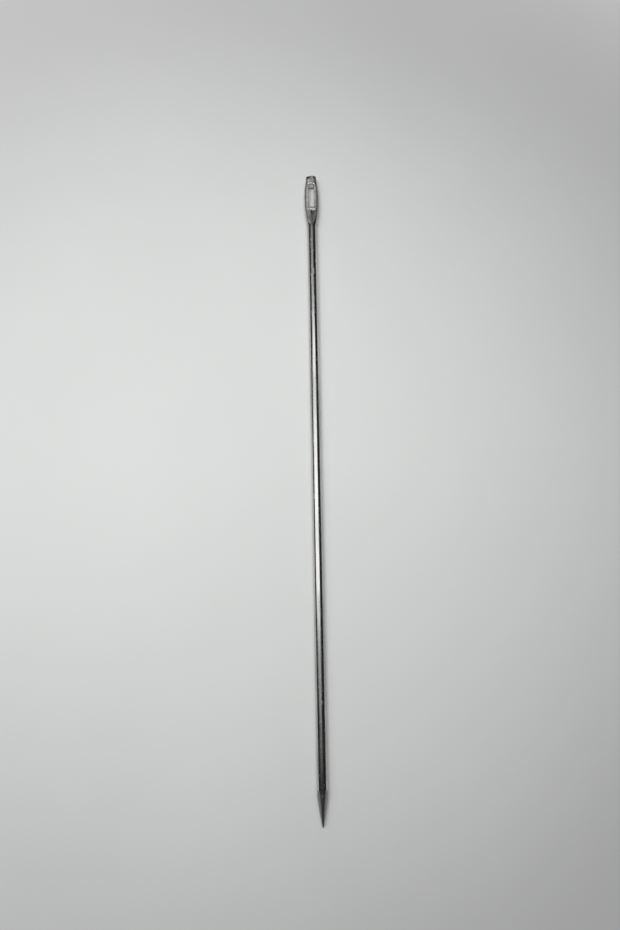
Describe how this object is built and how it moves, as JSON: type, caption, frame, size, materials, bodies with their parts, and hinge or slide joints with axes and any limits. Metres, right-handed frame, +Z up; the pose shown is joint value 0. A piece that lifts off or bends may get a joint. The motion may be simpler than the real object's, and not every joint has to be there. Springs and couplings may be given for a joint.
{
  "type": "sack needle",
  "caption": "Straight steel sack needle: round wire with a flattened, slotted and countersunk eye at one end and a ground four-sided point at the other.",
  "frame": {"origin": "middle of the needle's length, on the surface that it lies on, straight below its axis", "axes": "+Y along the needle from the point to the eye, +Z up out of the eye's face, +X across the head"},
  "size_m": [0.0048, 0.2, 0.0031],
  "materials": {
    "pressed_steel": "drawn wire flattened and pierced in a press, tumbled bright, a little duller in its hollows",
    "drawn_steel": "bright drawn wire with fine lines along it",
    "ground_steel": "wire ground to four facets, with fine grinding marks across them"
  },
  "bodies": {
    "root": {"eye_head": "pressed_steel", "shank": "drawn_steel", "point": "ground_steel"}
  },
  "joints": []
}
